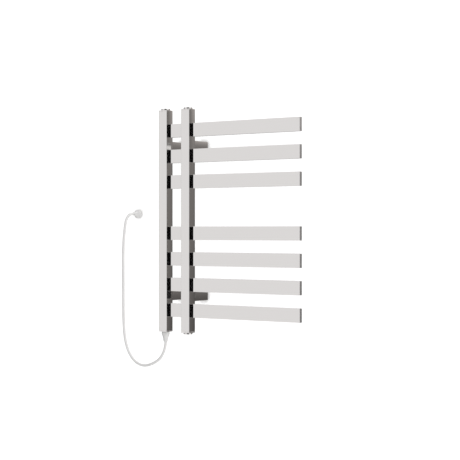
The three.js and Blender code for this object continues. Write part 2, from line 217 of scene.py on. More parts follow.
class Recipe:
    """Writes the nodes of one material or of the world."""

    def __init__(self, owner):
        owner.use_nodes = True
        self.tree = owner.node_tree
        self.tree.nodes.clear()

    def node(self, kind, settings=None, inputs=None, output=0):
        """Adds a node: its settings first, then the values or links of its sockets."""
        made = self.tree.nodes.new(kind)
        for name, value in (settings or {}).items():
            if name == "stops":
                self.fill_ramp(made.color_ramp, value)
            else:
                setattr(made, name, value)
        for name, value in (inputs or {}).items():
            if isinstance(value, Shade):
                self.tree.links.new(value.socket, made.inputs[name])
            else:
                made.inputs[name].default_value = value
        return Shade(self, made.outputs[output] if made.outputs else None)

    def math(self, operation, *values):
        return self.node("ShaderNodeMath", {"operation": operation}, dict(enumerate(values)))

    @staticmethod
    def fill_ramp(ramp, stops):
        """Gives a ramp its grey stops, as (place, brightness) pairs."""
        while len(ramp.elements) < len(stops):
            ramp.elements.new(1)
        for element, (place, level) in zip(ramp.elements, stops):
            element.position = place
            element.color = (level, level, level, 1)

    def place(self):
        """Where a point is on the object, in metres."""
        return self.node("ShaderNodeTexCoord", output="Object")

    def stretched(self, x, y, z):
        """Where a point is, with each axis drawn out by its own factor."""
        return self.node("ShaderNodeMapping", None, {"Vector": self.place(), "Scale": (x, y, z)})

    def noise(self, scale, detail, vector=None):
        """Soft noise from 0 to 1."""
        inputs = {"Vector": vector or self.place(), "Scale": scale, "Detail": detail}
        return self.node("ShaderNodeTexNoise", None, inputs)

    def blend(self, factor, first, second):
        """A colour between two colours."""
        factor_in, first_in, second_in, colour_out = 0, 6, 7, 2
        inputs = {factor_in: factor, first_in: (*first, 1), second_in: (*second, 1)}
        return self.node("ShaderNodeMix", {"data_type": "RGBA"}, inputs, output=colour_out)

    def smooth_step(self, value, low, high):
        """0 up to low, 1 from high, and an even curve between."""
        settings = {"interpolation_type": "SMOOTHSTEP"}
        inputs = {"Value": value, "From Min": low, "From Max": high}
        return self.node("ShaderNodeMapRange", settings, inputs)

    def bump(self, height, depth):
        """A normal from a height of 0 to 1, depth metres deep."""
        return self.node("ShaderNodeBump", None, {"Height": height, "Distance": depth})

    def surface(self, **sockets):
        """The surface shader, with its sockets by name: Base_Color is the Base Color socket."""
        inputs = {name.replace("_", " "): value for name, value in sockets.items()}
        self.finish(self.node("ShaderNodeBsdfPrincipled", None, inputs))

    def finish(self, shader, kind="ShaderNodeOutputMaterial"):
        self.node(kind, None, {"Surface": shader})


def scaled(tint, factor):
    return tuple(channel * factor for channel in tint)


def started(name):
    """A new material and the recipe that fills it."""
    material = bpy.data.materials.new(name)
    if material.name != name:
        raise RuntimeError(f"the scene already has a material called {name}")
    return material, Recipe(material)


# ---- Materials ----
def polished_steel(finishes):
    """Mirror-polished tube: faint polishing lines, a soft bloom and hardly any ripple."""
    _, recipe = started("steel_mirror_polish")
    bloom = recipe.noise(11, 3)
    polish = recipe.noise(160, 2, recipe.stretched(1, 1, 0.06))
    grain = recipe.noise(2600, 1)
    recipe.surface(
        Base_Color=recipe.blend(bloom, scaled(finishes.steel, 0.985), finishes.steel),
        Metallic=1.0,
        Roughness=finishes.steel_roughness + 0.02 * bloom + 0.012 * polish,
        Normal=recipe.bump(0.7 * polish + 0.3 * grain, 0.002 * MM),
    )


def white_moulding(finishes):
    """Glossy moulded plastic with a fine spark-eroded grain and slight flow clouding."""
    _, recipe = started("moulding_white_gloss")
    cloud = recipe.noise(35, 3)
    grain = recipe.noise(2200, 2)
    recipe.surface(
        Base_Color=recipe.blend(cloud, scaled(finishes.moulding, 0.96), finishes.moulding),
        Roughness=0.3 + 0.1 * grain + 0.05 * cloud,
        Specular_IOR_Level=0.35,
        Normal=recipe.bump(grain, 0.03 * MM),
    )


def cord_sheath(finishes):
    """Soft extruded sheath: matt, with the laid cores showing through as a slow ripple."""
    _, recipe = started("sheath_white_matt")
    ripple = recipe.noise(60, 2)
    grain = recipe.noise(1800, 2)
    recipe.surface(
        Base_Color=recipe.blend(ripple, scaled(finishes.sheath, 0.96), finishes.sheath),
        Roughness=0.42 + 0.12 * grain,
        Specular_IOR_Level=0.35,
        Normal=recipe.bump(0.8 * ripple + 0.2 * grain, 0.12 * MM),
    )


def turned_brass(finishes):
    """Turned and tumbled brass with light tarnish."""
    _, recipe = started("brass_turned")
    tarnish = recipe.noise(90, 4)
    tooling = recipe.noise(1500, 2, recipe.stretched(1, 0.1, 1))
    recipe.surface(
        Base_Color=recipe.blend(tarnish, finishes.brass, scaled(finishes.brass, 0.72)),
        Metallic=1.0,
        Roughness=0.18 + 0.2 * tarnish + 0.08 * tooling,
        Normal=recipe.bump(tooling, 0.01 * MM),
    )


def plated_steel():
    """Bright zinc plating on screws, with the bluish and yellowish patches that it has."""
    _, recipe = started("steel_bright_zinc")
    patches = recipe.noise(220, 3)
    grain = recipe.noise(3000, 2)
    recipe.surface(
        Base_Color=recipe.blend(patches, (0.62, 0.64, 0.68), (0.70, 0.68, 0.61)),
        Metallic=1.0,
        Roughness=0.22 + 0.14 * patches + 0.05 * grain,
        Normal=recipe.bump(grain, 0.01 * MM),
    )


def cast_zinc(finishes):
    """Die-cast zinc: grey, pitted and slightly chalky."""
    _, recipe = started("zinc_die_cast")
    chalk = recipe.noise(120, 4)
    skin = recipe.noise(900, 4)
    recipe.surface(
        Base_Color=recipe.blend(chalk, scaled(finishes.zinc, 0.8), scaled(finishes.zinc, 1.15)),
        Metallic=0.9,
        Roughness=0.38 + 0.2 * chalk,
        Normal=recipe.bump(skin, 0.06 * MM),
    )


def silicone_insulation(finishes):
    """Red silicone rubber with a dusty, matt skin."""
    _, recipe = started("silicone_red")
    dust = recipe.noise(240, 4)
    ribs = recipe.noise(1400, 2)
    recipe.surface(
        Base_Color=recipe.blend(dust, finishes.silicone, scaled(finishes.silicone, 1.5)),
        Roughness=0.55 + 0.2 * dust,
        Normal=recipe.bump(ribs, 0.05 * MM),
    )


def terminal_ceramic():
    """Cream steatite of the terminal block and cutout, with fine dark specks."""
    _, recipe = started("ceramic_cream")
    specks = recipe.smooth_step(recipe.noise(1600, 3), 0.6, 0.7)
    grain = recipe.noise(700, 4)
    recipe.surface(
        Base_Color=recipe.blend(specks, (0.74, 0.69, 0.57), (0.45, 0.40, 0.31)),
        Roughness=0.4 + 0.2 * grain,
        Normal=recipe.bump(grain, 0.03 * MM),
    )


def wiring_sleeve():
    """Woven glass sleeve over the wiring: two sets of fine threads that cross."""
    _, recipe = started("glass_sleeve")
    place = recipe.node("ShaderNodeSeparateXYZ", None, {0: recipe.place()})
    across = place + place.output("Y")
    up = place.output("Z")
    radians_per_metre = 1800
    one_way = recipe.math("SINE", (across + up) * radians_per_metre)
    other_way = recipe.math("SINE", (across - up) * radians_per_metre)
    weave = 0.5 + 0.5 * one_way * other_way
    recipe.surface(
        Base_Color=recipe.blend(weave, (0.52, 0.49, 0.41), (0.72, 0.69, 0.60)),
        Roughness=0.6 + 0.15 * weave,
        Normal=recipe.bump(weave, 0.1 * MM),
    )


class RACK_OT_finishes(bpy.types.Operator):
    """Make the rack's materials"""
    bl_idname = "rack.finishes"
    bl_label = "Finishes"

    def execute(self, context):
        finishes = context.scene.rack_finishes
        polished_steel(finishes)
        white_moulding(finishes)
        cord_sheath(finishes)
        turned_brass(finishes)
        plated_steel()
        cast_zinc(finishes)
        silicone_insulation(finishes)
        terminal_ceramic()
        wiring_sleeve()
        return {"FINISHED"}


# ---- Outlines and solids ----
QUARTERS = 4


def rounded_outline(width, height, corner, steps=6):
    """Points round a rectangle with round corners, about its own middle."""
    points = []
    for quarter in range(QUARTERS):
        across = (width / 2 - corner) * (1 if quarter in (0, 3) else -1)
        up = (height / 2 - corner) * (1 if quarter < 2 else -1)
        for step in range(steps + 1):
            angle = (quarter + step / steps) * math.pi / 2
            points.append((across + corner * math.cos(angle), up + corner * math.sin(angle)))
    return points


def crowned_outline(width, height, corner, crown):
    """A rounded rectangle whose sides bow out a little between the corners, as rolled tube does."""
    steps, spans = 4, 8
    corners = rounded_outline(width - 2 * crown, height - 2 * crown, corner, steps)
    points = []
    for quarter in range(QUARTERS):
        points += corners[quarter * (steps + 1):(quarter + 1) * (steps + 1)]
        start = Vector(points[-1])
        end = Vector(corners[(quarter + 1) * (steps + 1) % len(corners)])
        outward = Vector((end.y - start.y, start.x - end.x)).normalized()
        for span in range(1, spans):
            along = span / spans
            bow = crown * (1 - (2 * along - 1) ** 2)
            points.append(tuple(start.lerp(end, along) + outward * bow))
    return points


def circle_outline(radius, sides):
    turns = [2 * math.pi * i / sides for i in range(sides)]
    return [(radius * math.cos(turn), radius * math.sin(turn)) for turn in turns]


def at_height(outline, height):
    return [(across, up, height) for across, up in outline]


def edge_arc(radius, steps=5):
    """(inset, rise) pairs that round an outer edge over, from the face to the side."""
    turns = [math.pi / 2 * i / steps for i in range(steps + 1)]
    return [(radius * (1 - math.sin(turn)), radius * (1 - math.cos(turn))) for turn in turns]


def skin(loops, ring=False):
    """A closed mesh over loops of equal length: capped at both ends, or joined into a ring."""
    mesh = bmesh.new()
    rows = [[mesh.verts.new(point) for point in loop] for loop in loops]
    pairs = list(zip(rows, rows[1:])) + ([(rows[-1], rows[0])] if ring else [])
    for low, high in pairs:
        for i in range(len(low)):
            j = (i + 1) % len(low)
            mesh.faces.new((low[i], low[j], high[j], high[i]))
    if not ring:
        mesh.faces.new(reversed(rows[0]))
        mesh.faces.new(rows[-1])
    bmesh.ops.recalc_face_normals(mesh, faces=mesh.faces)
    return mesh


def turned(profile, sides=64, ring=False):
    """A round solid about Z from (radius, height) pairs, which don't reach the axis."""
    return skin([at_height(circle_outline(radius, sides), height) for radius, height in profile], ring)


def block(low, high):
    """A plain box between two corners, used to cut with."""
    corners = ((low[0], low[1]), (high[0], low[1]), (high[0], high[1]), (low[0], high[1]))
    return skin([at_height(corners, low[2]), at_height(corners, high[2])])


def square_tube(width, height, wall, corner, low, high, crown=0.0):
    """A rectangular tube along Z with round corners, open at both ends."""
    smallest_corner = 0.3 * MM
    inner_corner = max(corner - wall, smallest_corner)
    outer = crowned_outline(width, height, corner, crown)
    inner = crowned_outline(width - 2 * wall, height - 2 * wall, inner_corner, crown)
    ends = ((outer, low), (outer, high), (inner, high), (inner, low))
    return skin([at_height(outline, height) for outline, height in ends], ring=True)


def to_object(mesh, name, turn=ALONG_Z, at=(0, 0, 0)):
    """An object from a bmesh, with its place in its mesh."""
    mesh.transform(Matrix.Translation(at) @ turn)
    data = bpy.data.meshes.new(name)
    mesh.to_mesh(data)
    mesh.free()
    made = bpy.data.objects.new(name, data)
    bpy.context.scene.collection.objects.link(made)
    return made


def reshape(piece, operation, tools):
    """Joins tools to a piece or cuts them from it, for good."""
    for mesh in tools:
        tool = to_object(mesh, "tool")
        change = piece.modifiers.new(operation, "BOOLEAN")
        change.operation = operation
        change.solver = "EXACT"
        change.object = tool
        result = piece.evaluated_get(bpy.context.evaluated_depsgraph_get())
        fresh = bpy.data.meshes.new_from_object(result)
        piece.modifiers.remove(change)
        spent = piece.data
        piece.data = fresh
        fresh.name = piece.name
        bpy.data.meshes.remove(spent)
        tool_data = tool.data
        bpy.data.objects.remove(tool)
        bpy.data.meshes.remove(tool_data)


def soften(piece, width):
    """Rounds a piece's sharp edges a little."""
    bevel = piece.modifiers.new("edges", "BEVEL")
    bevel.width = width
    bevel.segments = 2
    bevel.limit_method = "ANGLE"
    bevel.angle_limit = ROUNDED_FROM
    bevel.use_clamp_overlap = True


def dress(piece, material, nodes):
    """Gives a made piece its material and ties it to the frame."""
    piece.data.materials.clear()
    piece.data.materials.append(bpy.data.materials[material])
    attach(piece, "root")
    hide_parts(*nodes)


def finish_piece(piece, material, edge=0.0):
    """Smooths a made piece, softens its edges and stands it in for its CAD node."""
    piece.data.shade_smooth()
    piece.data.set_sharp_from_angle(angle=SHARP_FROM)
    if edge:
        soften(piece, edge)
        weighted = piece.modifiers.new("normals", "WEIGHTED_NORMAL")
        weighted.keep_sharp = True
        weighted.weight = 100
    dress(piece, material, [piece.name.removesuffix("_made")])
    return piece


def keep(node, material, edge):
    """Keeps a frame node's own shape, with a finish and softened edges."""
    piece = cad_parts[node]
    for slot in piece.material_slots:
        slot.material = bpy.data.materials[material]
    soften(piece, edge)


def rack_sizes():
    return bpy.context.scene.rack_sizes


def middle(node):
    low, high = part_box(node)
    return [(a + b) / 2 for a, b in zip(low, high)]


def size(node):
    low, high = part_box(node)
    return [b - a for a, b in zip(low, high)]


# ---- Posts ----
def notch(node, post_low, post_high):
    """What a bar's notch takes out of a post: open to the rear, and a little larger than the bar."""
    room = 0.3 * MM
    low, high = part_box(node)
    blind = low[0] > post_low[0]
    left = low[0] - room if blind else post_low[0] - PAST
    return block(
        (left, low[1] - room, low[2] - room),
        (post_high[0] + PAST, post_high[1] + PAST, high[2] + room),
    )


def make_post(side):
    sizes = rack_sizes()
    node = f"post_{side}"
    low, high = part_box(node)
    width, depth, _ = size(node)
    x, y, _ = middle(node)
    tube = square_tube(width, depth, sizes.post_wall, sizes.post_corner, low[2], high[2], sizes.crown)
    piece = to_object(tube, f"{node}_made", at=(x, y, 0))
    reshape(piece, "DIFFERENCE", [notch(f"bar_{i}", low, high) for i in BARS])
    finish_piece(piece, "steel_mirror_polish", sizes.cut_edge)
    # Reflections leave the posts out, so the bars show the studio's cards right up to the posts
    piece.visible_glossy = False


class RACK_OT_posts(bpy.types.Operator):
    """Make the two square posts, notched from the rear for the bars"""
    bl_idname = "rack.posts"
    bl_label = "Posts"

    def execute(self, context):
        for side in SIDES:
            make_post(side)
        return {"FINISHED"}


# ---- End plates and caps ----
def make_end_plate(node, turn, bores):
    """A plate with a rounded outer face and the threaded bush behind it."""
    sizes = rack_sizes()
    low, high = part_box(node)
    width, depth, reach = size(node)
    x, y, _ = middle(node)
    thickness, smallest_corner = 3 * MM, 0.1 * MM
    bush_radius, bush_start, bore_radius = 10 * MM, 1 * MM, 6.8 * MM
    levels = []
    for inset, rise in edge_arc(sizes.plate_edge):
        corner = max(sizes.post_corner - inset, smallest_corner)
        outline = crowned_outline(width - 2 * inset, depth - 2 * inset, corner, sizes.crown)
        levels.append(at_height(outline, rise))
    levels.append(at_height(crowned_outline(width, depth, sizes.post_corner, sizes.crown), thickness))
    outer_face = low[2] if turn == ALONG_Z else high[2]
    piece = to_object(skin(levels), f"{node}_made", turn, (x, y, outer_face))
    bush = turned([(bush_radius, bush_start), (bush_radius, reach)])
    bush.transform(Matrix.Translation((x, y, outer_face)) @ turn)
    reshape(piece, "UNION", [bush])
    bore = turned([(bore_radius, -PAST), (bore_radius, reach + PAST)])
    bore.transform(Matrix.Translation((x, y, outer_face)) @ turn)
    reshape(piece, "DIFFERENCE", [bore, *bores])
    finish_piece(piece, "steel_mirror_polish", sizes.cut_edge)


def earth_hole():
    """The hole that the earth screw sits in."""
    radius, depth, below_screw = 2 * MM, 6 * MM, 0.5 * MM
    x, y, _ = middle("earth_screw")
    low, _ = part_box("earth_screw")
    hole = turned([(radius, 0), (radius, depth)], 32)
    hole.transform(Matrix.Translation((x, y, low[2] - below_screw)))
    return hole


class RACK_OT_end_plates(bpy.types.Operator):
    """Make the plates that close the posts' ends"""
    bl_idname = "rack.end_plates"
    bl_label = "End plates"

    def execute(self, context):
        for side in SIDES:
            make_end_plate(f"end_plate_top_{side}", UPSIDE_DOWN, [])
        make_end_plate("end_plate_bottom_left", ALONG_Z, [earth_hole()])
        make_end_plate("end_plate_bottom_right", ALONG_Z, [])
        return {"FINISHED"}


def make_post_cap(node, turn):
    """A low round cap with a rounded edge and a shallow dished face, on a threaded stem."""
    sizes = rack_sizes()
    low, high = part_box(node)
    x, y, _ = middle(node)
    rim = (high[0] - low[0]) / 2
    stem, stem_depth, stem_chamfer = 6.5 * MM, 9 * MM, 0.8 * MM
    seat, seat_chamfer, height = 0.3 * MM, 0.3 * MM, 4.5 * MM
    lip, dish_slope, dish_depth, centre = 3.2 * MM, 0.6 * MM, 0.25 * MM, 0.5 * MM
    edge = [(rim - inset, height - rise) for inset, rise in reversed(edge_arc(sizes.cap_edge, 8))]
    profile = [
        (stem - stem_chamfer, -stem_depth),
        (stem, -stem_depth + stem_chamfer),
        (stem, seat),
        (rim - seat_chamfer, seat),
        (rim, seat + seat_chamfer),
        *edge,
        (rim - lip, height),
        (rim - lip - dish_slope, height - dish_depth),
        (centre, height - dish_depth),
    ]
    foot = high[2] - height if turn == ALONG_Z else low[2] + height
    piece = to_object(turned(profile, 72), f"{node}_made", turn, (x, y, foot))
    finish_piece(piece, "steel_mirror_polish", 0.1 * MM)


class RACK_OT_post_caps(bpy.types.Operator):
    """Make the round caps screwed into the posts' ends"""
    bl_idname = "rack.post_caps"
    bl_label = "Post caps"

    def execute(self, context):
        for side in SIDES:
            make_post_cap(f"post_cap_top_{side}", ALONG_Z)
        make_post_cap("post_cap_bottom_right", UPSIDE_DOWN)
        return {"FINISHED"}


# ---- Bars ----
def make_bar(number):
    """A flat tube with its wiring window, which is hidden inside the left post."""
    sizes = rack_sizes()
    node = f"bar_{number}"
    low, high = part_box(node)
    _, depth, height = size(node)
    _, y, z = middle(node)
    tube = square_tube(depth, height, sizes.bar_wall, sizes.bar_corner, low[0], high[0])
    piece = to_object(tube, f"{node}_made", ALONG_X, (0, y, z))
    window_start, window_end = low[0] + 2 * MM, -1 * MM
    window_depth, half_height = 1.7 * MM, 16 * MM
    window = block(
        (window_start, low[1] - PAST, z - half_height),
        (window_end, low[1] + window_depth, z + half_height),
    )
    reshape(piece, "DIFFERENCE", [window])
    finish_piece(piece, "steel_mirror_polish", sizes.cut_edge)


def make_bar_end_cap(number):
    """A thin plate with softly rounded edges, and the spigot that holds it in the bar."""
    sizes = rack_sizes()
    node = f"bar_end_cap_{number}"
    low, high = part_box(node)
    _, depth, height = size(node)
    _, y, z = middle(node)
    plate, rounding, room, spigot_corner = 1.5 * MM, 0.6 * MM, 0.3 * MM, 0.3 * MM
    inside = 2 * (sizes.bar_wall + room)
    outline = rounded_outline(depth, height, sizes.bar_corner)
    spigot = rounded_outline(depth - inside, height - inside, spigot_corner)
    levels = [
        at_height(spigot, low[0]),
        at_height(spigot, high[0] - plate),
        at_height(outline, high[0] - plate),
    ]
    for inset, rise in reversed(edge_arc(rounding, 3)):
        level = rounded_outline(depth - 2 * inset, height - 2 * inset, sizes.bar_corner - inset)
        levels.append(at_height(level, high[0] - rise))
    piece = to_object(skin(levels), f"{node}_made", ALONG_X, (0, y, z))
    finish_piece(piece, "steel_mirror_polish", 0.08 * MM)


class RACK_OT_bars(bpy.types.Operator):
    """Make the seven flat bars and the caps on their right-hand ends"""
    bl_idname = "rack.bars"
    bl_label = "Bars"

    def execute(self, context):
        for number in BARS:
            make_bar(number)
            make_bar_end_cap(number)
        return {"FINISHED"}


# ---- Standoffs and wall fixings ----
def make_standoff(level, side):
    """A square arm from post to wall, with the grub screw's hole in its underside."""
    sizes = rack_sizes()
    node = f"standoff_{level}_{side}"
    low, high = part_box(node)
    width, _, height = size(node)
    x, _, z = middle(node)
    weld, hole_radius, hole_depth, below_arm = 0.8 * MM, 2.8 * MM, 6 * MM, 2 * MM
    tube = square_tube(
        width, height, sizes.arm_wall, sizes.arm_corner, low[1] - weld, high[1], sizes.crown,
    )
    piece = to_object(tube, f"{node}_made", INTO_WALL, (x, 0, z))
    _, grub_y, _ = middle(f"grub_screw_{level}_{side}")
    hole = turned([(hole_radius, 0), (hole_radius, hole_depth)], 40)
    hole.transform(Matrix.Translation((x, grub_y, low[2] - below_arm)))
    reshape(piece, "DIFFERENCE", [hole])
    finish_piece(piece, "steel_mirror_polish", sizes.cut_edge)


class RACK_OT_standoffs(bpy.types.Operator):
    """Make the four square arms between the posts and the wall"""
    bl_idname = "rack.standoffs"
    bl_label = "Standoffs"

    def execute(self, context):
        for level in LEVELS:
            for side in SIDES:
                make_standoff(level, side)
        return {"FINISHED"}


def threaded_screw(reach, head, shank):
    """A countersunk wood screw from y = 0 into the wall: cone, plain neck, thread and point."""
    sides, pitch, neck, point, rim = 28, 1.9 * MM, 12 * MM, 7 * MM, 0.3 * MM
    neck_radius, thread_start = 0.94 * shank, neck - 1 * MM
    root, tip, flank, rows_per_pitch = 0.68, 0.05, 3.2, 6
    rows = int((reach - neck) / (pitch / rows_per_pitch))
    loops = [
        at_height(circle_outline(head - rim, sides), 0),
        at_height(circle_outline(head, sides), rim),
        at_height(circle_outline(neck_radius, sides), head - shank + rim),
        at_height(circle_outline(neck_radius, sides), thread_start),
    ]
    for row in range(rows + 1):
        height = neck + (reach - neck) * row / rows
        taper = min(1, (reach - height) / point) * (1 - tip) + tip
        loop = []
        for i in range(sides):
            turn = 2 * math.pi * i / sides
            wave = (height / pitch - turn / (2 * math.pi)) % 1
            crest = max(0, 1 - abs(wave - 0.5) * flank)
            radius = shank * taper * (root + (1 - root) * crest)
            loop.append((radius * math.cos(turn), radius * math.sin(turn), height))
        loops.append(loop)
    return skin(loops)


def make_wall_screw(level, side):
    """A wall screw with a cross-shaped recess in its head."""
    node = f"wall_screw_{level}_{side}"
    shank, long_half, short_half, recess = 2.4 * MM, 2.5 * MM, 0.55 * MM, 2 * MM
    low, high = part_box(node)
    x, _, z = middle(node)
    screw = threaded_screw(high[1] - low[1], (high[0] - low[0]) / 2, shank)
    piece = to_object(screw, f"{node}_made", INTO_WALL, (x, low[1], z))
    arms = []
    for across, up in ((long_half, short_half), (short_half, long_half)):
        arms.append(block((x - across, low[1] - PAST, z - up), (x + across, low[1] + recess, z + up)))
    reshape(piece, "DIFFERENCE", arms)
    finish_piece(piece, "steel_bright_zinc")


class RACK_OT_wall_fixings(bpy.types.Operator):
    """Make the wall screws, and finish the anchors and grub screws that the frame has"""
    bl_idname = "rack.wall_fixings"
    bl_label = "Wall fixings"

    def execute(self, context):
        for level in LEVELS:
            for side in SIDES:
                make_wall_screw(level, side)
                keep(f"wall_anchor_{level}_{side}", "zinc_die_cast", 0.5 * MM)
                keep(f"grub_screw_{level}_{side}", "steel_bright_zinc", 0.2 * MM)
        return {"FINISHED"}


class RACK_OT_inner_works(bpy.types.Operator):
    """Finish the heating loops and the wiring, which the frame has in full"""
    bl_idname = "rack.inner_works"
    bl_label = "Inner works"

    def execute(self, context):
        for number in BARS:
            keep(f"heating_loop_{number}", "silicone_red", 0.1 * MM)
        keep("strain_relief_nut", "brass_turned", 0.3 * MM)
        keep("earth_screw", "brass_turned", 0.15 * MM)
        keep("terminal_block", "ceramic_cream", 0.6 * MM)
        keep("thermal_cutout", "ceramic_cream", 0.6 * MM)
        keep("supply_lead", "sheath_white_matt", 0.2 * MM)
        keep("wiring_loom", "glass_sleeve", 0.2 * MM)
        return {"FINISHED"}


# ---- Supply: strain relief, cord and plug ----
def make_strain_relief():
    """A bell-shaped rubber boot that tapers from the post down to the cord."""
    x, y, _ = middle("strain_relief")
    plate_low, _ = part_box("end_plate_bottom_left")
    shank = 6.5
    # (radius, height) in millimetres, from the end plate's underside
    outside = [
        (shank, 14.5), (shank, -0.3), (11.6, -0.3), (12, -0.8), (12, -7.6), (11.8, -9.2), (11.2, -10.8),
        (10.3, -12.6), (9.4, -15), (8.6, -18), (8, -21.2), (7.5, -24.6), (7, -27.6), (6.5, -29.6),
        (6, -30.7), (5.4, -31.3), (4.9, -31.5),
    ]
    bore = [(4.4, -31.2), (4.4, -27.2), (4.7, -26.8), (4.7, 14.5)]
    profile = [(radius * MM, height * MM) for radius, height in outside + bore]
    relief = turned(profile, ring=True)
    piece = to_object(relief, "strain_relief_made", at=(x, y, plate_low[2]))
    finish_piece(piece, "moulding_white_gloss")
    return piece


def route_handles(points):
    """Curve handles that follow the frame's own smooth curve through the route's points."""
    first = 2 * points[0] - points[1]
    last = 2 * points[-1] - points[-2]
    line = [first, *points, last]
    handles = []
    for before, at, after in zip(line, line[1:], line[2:]):
        lead = math.sqrt((at - before).length)
        follow = math.sqrt((after - at).length)
        slope = (at - before) / lead - (after - before) / (lead + follow) + (after - at) / follow
        handles.append((at - slope * lead / 3, at + slope * follow / 3))
    return handles


def make_cord():
    """The cord as a round curve along its route."""
    sizes = rack_sizes()
    points = [Vector(point) * MM for point in CORD_ROUTE]
    data = bpy.data.curves.new("cord_made", "CURVE")
    data.dimensions = "3D"
    data.bevel_depth = sizes.cord_diameter / 2
    data.bevel_resolution = 6
    data.resolution_u = 6
    data.use_fill_caps = True
    spline = data.splines.new("BEZIER")
    spline.bezier_points.add(len(points) - 1)
    for knot, at, (left, right) in zip(spline.bezier_points, points, route_handles(points)):
        knot.handle_left_type = knot.handle_right_type = "FREE"
        knot.co, knot.handle_left, knot.handle_right = at, left, right
    piece = bpy.data.objects.new("cord_made", data)
    bpy.context.scene.collection.objects.link(piece)
    dress(piece, "sheath_white_matt", ["cord"])
    return piece


def make_plug_body():
    """A round moulded plug: thick rim, hollow-sided cone, and a neck that grips the cord."""
    x, _, z = middle("plug_body")
    _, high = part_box("plug_body")
    # (radius, height) in millimetres, from the plug's face towards the cord
    outline = [
        (1, 0), (12.9, 0), (13.3, 0.25), (13.5, 0.8), (13.5, 4.1), (13.35, 4.8), (12.9, 5.4), (12, 6.3),
        (11, 7.5), (9.9, 9), (8.8, 10.8), (7.8, 12.9), (7, 15), (6.35, 17.4), (5.85, 19.8), (5.5, 22.2),
        (5.3, 24.2), (5.15, 25.1), (4.8, 25.5), (4.45, 25.3), (4.4, 22.4), (1, 22.3),
    ]
    profile = [(radius * MM, height * MM) for radius, height in outline]
    piece = to_object(turned(profile, 72), "plug_body_made", OFF_WALL, (x, high[1], z))
    finish_piece(piece, "moulding_white_gloss")
    return piece


def make_plug_blade(node):
    """A flat contact blade with a tapered tip and a round eye."""
    low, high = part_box(node)
    width, reach, height = size(node)
    x, _, z = middle(node)
    tip, eye_radius, eye_from_tip, eye_reach = 1.2 * MM, 1.5 * MM, 4 * MM, 3 * MM
    # (width, height, corner, distance along the blade), from root to tip
    sections = (
        (width, height, 0.2 * MM, 0),
        (width, height, 0.2 * MM, reach - tip),
        (width * 0.75, height - 0.6 * MM, 0.2 * MM, reach - tip * 0.4),
        (width * 0.5, height - 1.6 * MM, 0.15 * MM, reach),
    )
    levels = [at_height(rounded_outline(*section, 3), along) for *section, along in sections]
    piece = to_object(skin(levels), f"{node}_made", INTO_WALL, (x, low[1], z))
    eye = turned([(eye_radius, -eye_reach), (eye_radius, eye_reach)], 32)
    eye.transform(Matrix.Translation((x, high[1] - eye_from_tip, z)) @ ALONG_X)
    reshape(piece, "DIFFERENCE", [eye])
    return finish_piece(piece, "brass_turned", 0.1 * MM)


def make_earth_pin():
    """A round pin with a rounded nose."""
    node = "plug_earth_pin"
    low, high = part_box(node)
    x, _, z = middle(node)
    radius = (high[0] - low[0]) / 2
    reach = high[1] - low[1]
    nose = [(radius - inset, reach - rise) for inset, rise in reversed(edge_arc(radius * 0.9, 8))]
    piece = to_object(turned([(radius, 0), *nose], 40), f"{node}_made", INTO_WALL, (x, low[1], z))
    return finish_piece(piece, "brass_turned")


class RACK_OT_supply(bpy.types.Operator):
    """Make the strain relief, the cord and its plug"""
    bl_idname = "rack.supply"
    bl_label = "Cord and plug"

    def execute(self, context):
        relief = make_strain_relief()
        body = make_plug_body()
        contacts = [make_plug_blade("plug_blade_neutral"), make_plug_blade("plug_blade_live")]
        contacts.append(make_earth_pin())
        cord = make_cord()
        return {"FINISHED"}


# ---- Stage ----
CAMERA_PLACE = (2.29185, -3.13418, 0.20605)
KEY_PLACE = (1.3, -1.9, 1.9)
KEY_AIM = (0.1, -0.08, 0.2)
KEY_SIZE = (1.6, 1.2)

# Brightness of the studio that reflections show: (degrees from square on, brightness).
# There is one ring of cards below level, one about level and one above it. All three have a dark
# opening where the camera stands, between bright cards.
CARDS_LOW = (
    (-180, 0.1), (-146, 0.015), (-112, 0.1), (-92, 0.1), (-68, 0.12),
    (-52, 0.885), (-18, 0.885), (-8, 1.0), (3, 1.0), (8, 0.004), (60, 0.004), (65, 1.0), (114, 1.0),
    (128, 0.15), (139, 0.135), (148, 0.08), (149.4, 0.05), (162, 0.06), (180, 0.1),
)
CARDS_LEVEL = (
    (-180, 0.15), (-170, 0.005), (-112, 0.01), (-92, 0.12), (-68, 0.12),
    (-52, 0.885), (-18, 0.885), (-8, 1.0), (3, 1.0), (8, 0.004), (60, 0.004), (65, 1.0), (114, 1.0),
    (128, 0.22), (139, 0.195), (148, 0.185), (149.4, 0.12), (162, 0.17), (180, 0.2),
)
CARDS_HIGH = (
    (-180, 0.5), (-146, 0.3), (-112, 0.7), (-92, 0.14), (-68, 0.12),
    (-52, 0.885), (-18, 0.885), (-8, 1.0), (3, 1.0), (8, 0.004), (60, 0.004), (65, 1.0), (114, 1.0),
    (128, 0.15), (141, 0.17), (148, 0.72), (149.4, 0.39), (162, 0.6), (180, 0.5),
)
# A bright card just above level, behind on the left, which shows in the standoffs' sides
CARD_BEHIND = ((-180, 0), (-172, 0), (-164, 1), (-124, 1), (-116, 0), (180, 0))

# Heights over which one part of the studio gives way to the next, as the sine of the angle above level
LOW_TO_LEVEL = (-0.11, 0.04)
LEVEL_TO_HIGH = (0.04, 0.16)
CARD_BEHIND_FOOT = (0.03, 0.055)
CARD_BEHIND_TOP = (0.075, 0.11)
RINGS_TO_OVERHEAD = (0.25, 0.5)
OVERHEAD_DIMS = (0.55, 0.95)
# The part of a full turn, from straight behind, over which the white of the cards turns warm
TURNS_WARM = (0.81, 0.87)
CARD_WHITE = (1, 0.985, 0.985)
WARM_WHITE = (1.03, 0.96, 0.92)


